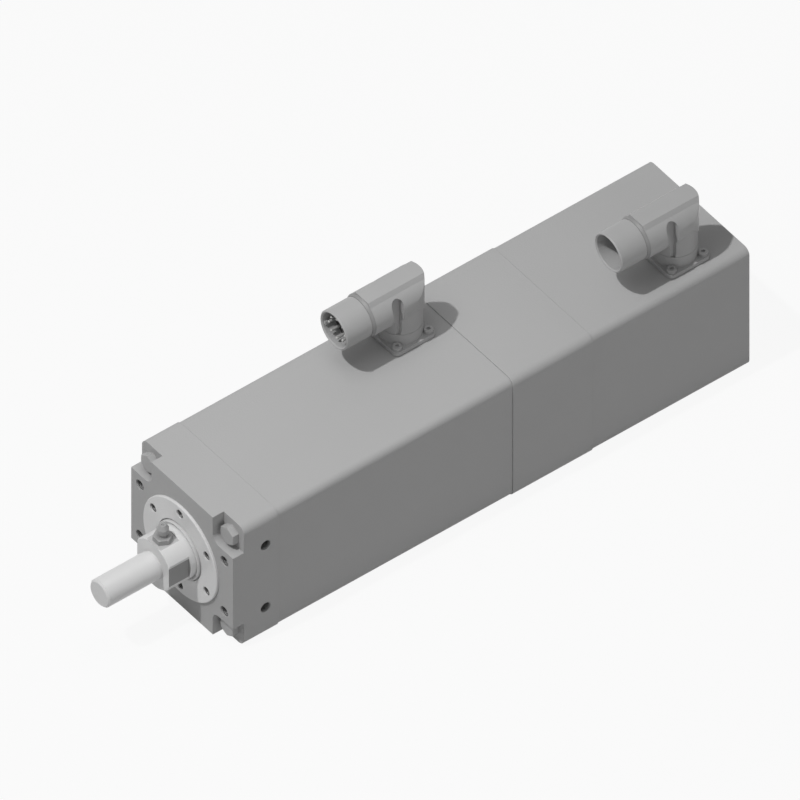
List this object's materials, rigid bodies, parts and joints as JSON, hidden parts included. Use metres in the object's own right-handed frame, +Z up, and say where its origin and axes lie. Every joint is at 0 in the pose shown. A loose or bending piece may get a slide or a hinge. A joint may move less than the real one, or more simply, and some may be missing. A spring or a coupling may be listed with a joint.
{
  "type": "electric cylinder",
  "caption": "Direct-drive electric cylinder: a square servo motor with a hollow rotor turns a ball screw that pushes out a piston rod; two right-angle round connectors on top.",
  "frame": {"origin": "on the rod axis at the front face of the front block", "axes": "+X along the piston rod, the way it comes out; +Z up, the side with the connectors; +Y to the side with the signal connector"},
  "size_m": [0.3822, 0.083, 0.1223],
  "materials": {
    "housing_grey": "satin powder coat",
    "plate_steel": "fine turned",
    "rod_steel": "ground and hard chromed",
    "wiper_polymer": "satin",
    "bolt_steel": "blackened",
    "nipple_steel": "zinc plated",
    "connector_metal": "satin nickel",
    "insulator": "matt",
    "contact_metal": "plated",
    "seal_rubber": "matt",
    "inner_steel": "machined",
    "bronze": "sintered",
    "lamination": "stamped",
    "copper": "varnished",
    "magnet": "nickel plated",
    "friction_lining": "matt"
  },
  "bodies": {
    "housing": {"front_block": "housing_grey", "guide_plate": "plate_steel", "guide_bush": "bronze", "guide_ring_nut": "inner_steel", "rod_wiper": "wiper_polymer", "rod_seal": "seal_rubber", "tie_bolts": "bolt_steel", "motor_housing": "housing_grey", "housing_o_rings": "seal_rubber", "stator_core": "lamination", "stator_windings": "copper", "front_bearing_outer_ring": "inner_steel", "front_bearing_balls": "inner_steel", "mid_block": "housing_grey", "thrust_bearing_outer_rings": "inner_steel", "thrust_bearing_balls": "inner_steel", "bearing_cover": "inner_steel", "bearing_cover_screws": "bolt_steel", "rear_cover": "housing_grey", "rear_cover_screws": "bolt_steel", "brake_plate": "inner_steel", "brake_spacers": "inner_steel", "brake_coil_body": "inner_steel", "brake_coil": "copper", "brake_screws": "bolt_steel", "resolver_stator": "lamination", "power_flange_gasket": "seal_rubber", "power_flange": "connector_metal", "power_flange_screws": "bolt_steel", "signal_flange_gasket": "seal_rubber", "signal_flange": "connector_metal", "signal_flange_screws": "bolt_steel"},
    "rotor": {"rotor_sleeve": "inner_steel", "rotor_magnets": "magnet", "front_bearing_inner_ring": "inner_steel", "thrust_bearing_inner_rings": "inner_steel", "bearing_lock_nut": "inner_steel", "ball_screw": "inner_steel", "screw_guide_ring": "wiper_polymer", "brake_hub": "inner_steel", "brake_friction_disc": "friction_lining", "resolver_rotor": "lamination"},
    "rod": {"piston_rod": "rod_steel", "ball_nut": "inner_steel", "grease_nipple": "nipple_steel"},
    "armature": {"brake_armature": "inner_steel"},
    "power_head": {"power_elbow": "connector_metal", "power_neck_seal": "seal_rubber", "power_nose": "connector_metal", "power_insert": "insulator", "power_pins": "contact_metal"},
    "signal_head": {"signal_elbow": "connector_metal", "signal_neck_seal": "seal_rubber", "signal_nose": "connector_metal", "signal_insert": "insulator", "signal_contacts": "contact_metal"}
  },
  "joints": [
    {"name": "rotor_spin", "type": "hinge", "parent": "housing", "child": "rotor", "pos_m": [0, 0, 0], "axis": [-1, 0, 0], "range_deg": [0, 5040]},
    {"name": "rod_slide", "type": "slide", "parent": "housing", "child": "rod", "axis": [1, 0, 0], "range_m": [0, 0.07]},
    {"name": "brake_release", "type": "slide", "parent": "housing", "child": "armature", "axis": [-1, 0, 0], "range_m": [0, 0.0003]},
    {"name": "power_connector_swivel", "type": "hinge", "parent": "housing", "child": "power_head", "pos_m": [-0.1554, -0.0208, 0.05], "axis": [0, 0, 1], "range_deg": [-155, 155]},
    {"name": "signal_connector_swivel", "type": "hinge", "parent": "housing", "child": "signal_head", "pos_m": [-0.2977, 0.0208, 0.05], "axis": [0, 0, 1], "range_deg": [-155, 155]}
  ],
  "couplings": [
    {"joint": "rod_slide", "follows": "rotor_spin", "m_per_rad": 0.00079577}
  ]
}
